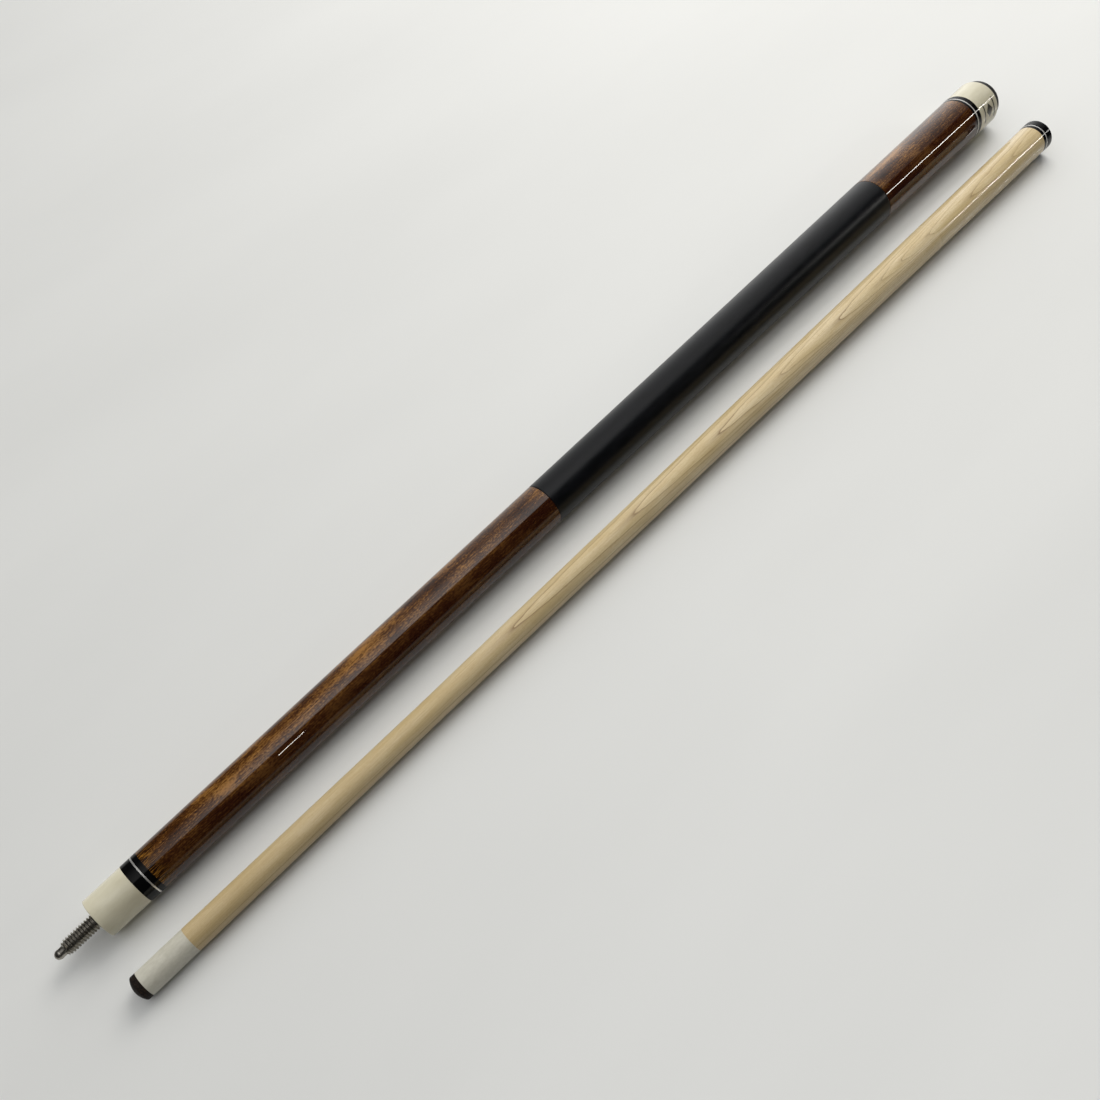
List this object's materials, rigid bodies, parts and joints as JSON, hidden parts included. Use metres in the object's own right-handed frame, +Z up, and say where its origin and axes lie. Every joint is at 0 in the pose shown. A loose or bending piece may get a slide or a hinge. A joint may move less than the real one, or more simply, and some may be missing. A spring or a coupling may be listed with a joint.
{
  "type": "pool cue",
  "caption": "Two-piece pool cue, unscrewed: a tapered wrapped butt with a threaded joint pin, and a tapered maple shaft with a leather tip, lying side by side.",
  "frame": {"origin": "on the surface that both halves rest on, under the middle of their common box", "axes": "+X along the butt from the joint pin to the bumper, +Y from the shaft to the butt, +Z up"},
  "size_m": [0.7601, 0.0736, 0.0318],
  "materials": {
    "steel": "turned stainless steel with a cut thread",
    "zinc_steel": "plain zinc-plated steel",
    "brass": "turned brass",
    "ivory_resin": "polished ivory-coloured resin under clear coat",
    "black_phenolic": "polished black phenolic under clear coat",
    "silver_ring": "polished nickel silver under clear coat",
    "stained_maple": "amber to reddish-brown stained maple under a high-gloss clear coat",
    "core_wood": "plain turned maple",
    "wrap_leather": "smooth matte black leather",
    "rubber": "moulded black rubber",
    "tip_leather": "pressed dark brown leather, scuffed on the dome",
    "ferrule_resin": "satin white resin",
    "shaft_maple": "natural maple with a sealed satin finish, glossier near the joint"
  },
  "bodies": {
    "butt": {"joint_pin": "steel", "joint_collar": "ivory_resin", "collar_ring_wide": "black_phenolic", "collar_ring_silver": "silver_ring", "collar_ring_narrow": "black_phenolic", "forearm": "stained_maple", "forearm_stud": "zinc_steel", "handle_core": "core_wood", "wrap": "wrap_leather", "sleeve_stud": "zinc_steel", "butt_sleeve": "stained_maple", "cap_ring_narrow": "black_phenolic", "cap_ring_silver": "silver_ring", "cap_ring_wide": "black_phenolic", "butt_cap": "ivory_resin"},
    "weight_bolt": {"weight_bolt": "zinc_steel"},
    "bumper": {"bumper": "rubber"},
    "shaft": {"tip": "tip_leather", "ferrule": "ferrule_resin", "shaft_wood": "shaft_maple", "shaft_ring_narrow": "black_phenolic", "shaft_ring_silver": "silver_ring", "shaft_collar": "black_phenolic", "shaft_insert": "brass"}
  },
  "joints": [
    {"name": "shaft_turn", "type": "hinge", "parent": "butt", "child": "shaft", "pos_m": [0.37264, -0.02614, 0.01065], "axis": [0.9999, -0.0124, 0.0056], "continuous": true},
    {"name": "bumper_pull", "type": "slide", "parent": "butt", "child": "bumper", "axis": [1, 0, 0.0072], "range_m": [0, 0.02]},
    {"name": "weight_bolt_travel", "type": "slide", "parent": "butt", "child": "weight_bolt", "axis": [1, 0, 0.0072], "range_m": [-0.006, 0.012]}
  ]
}
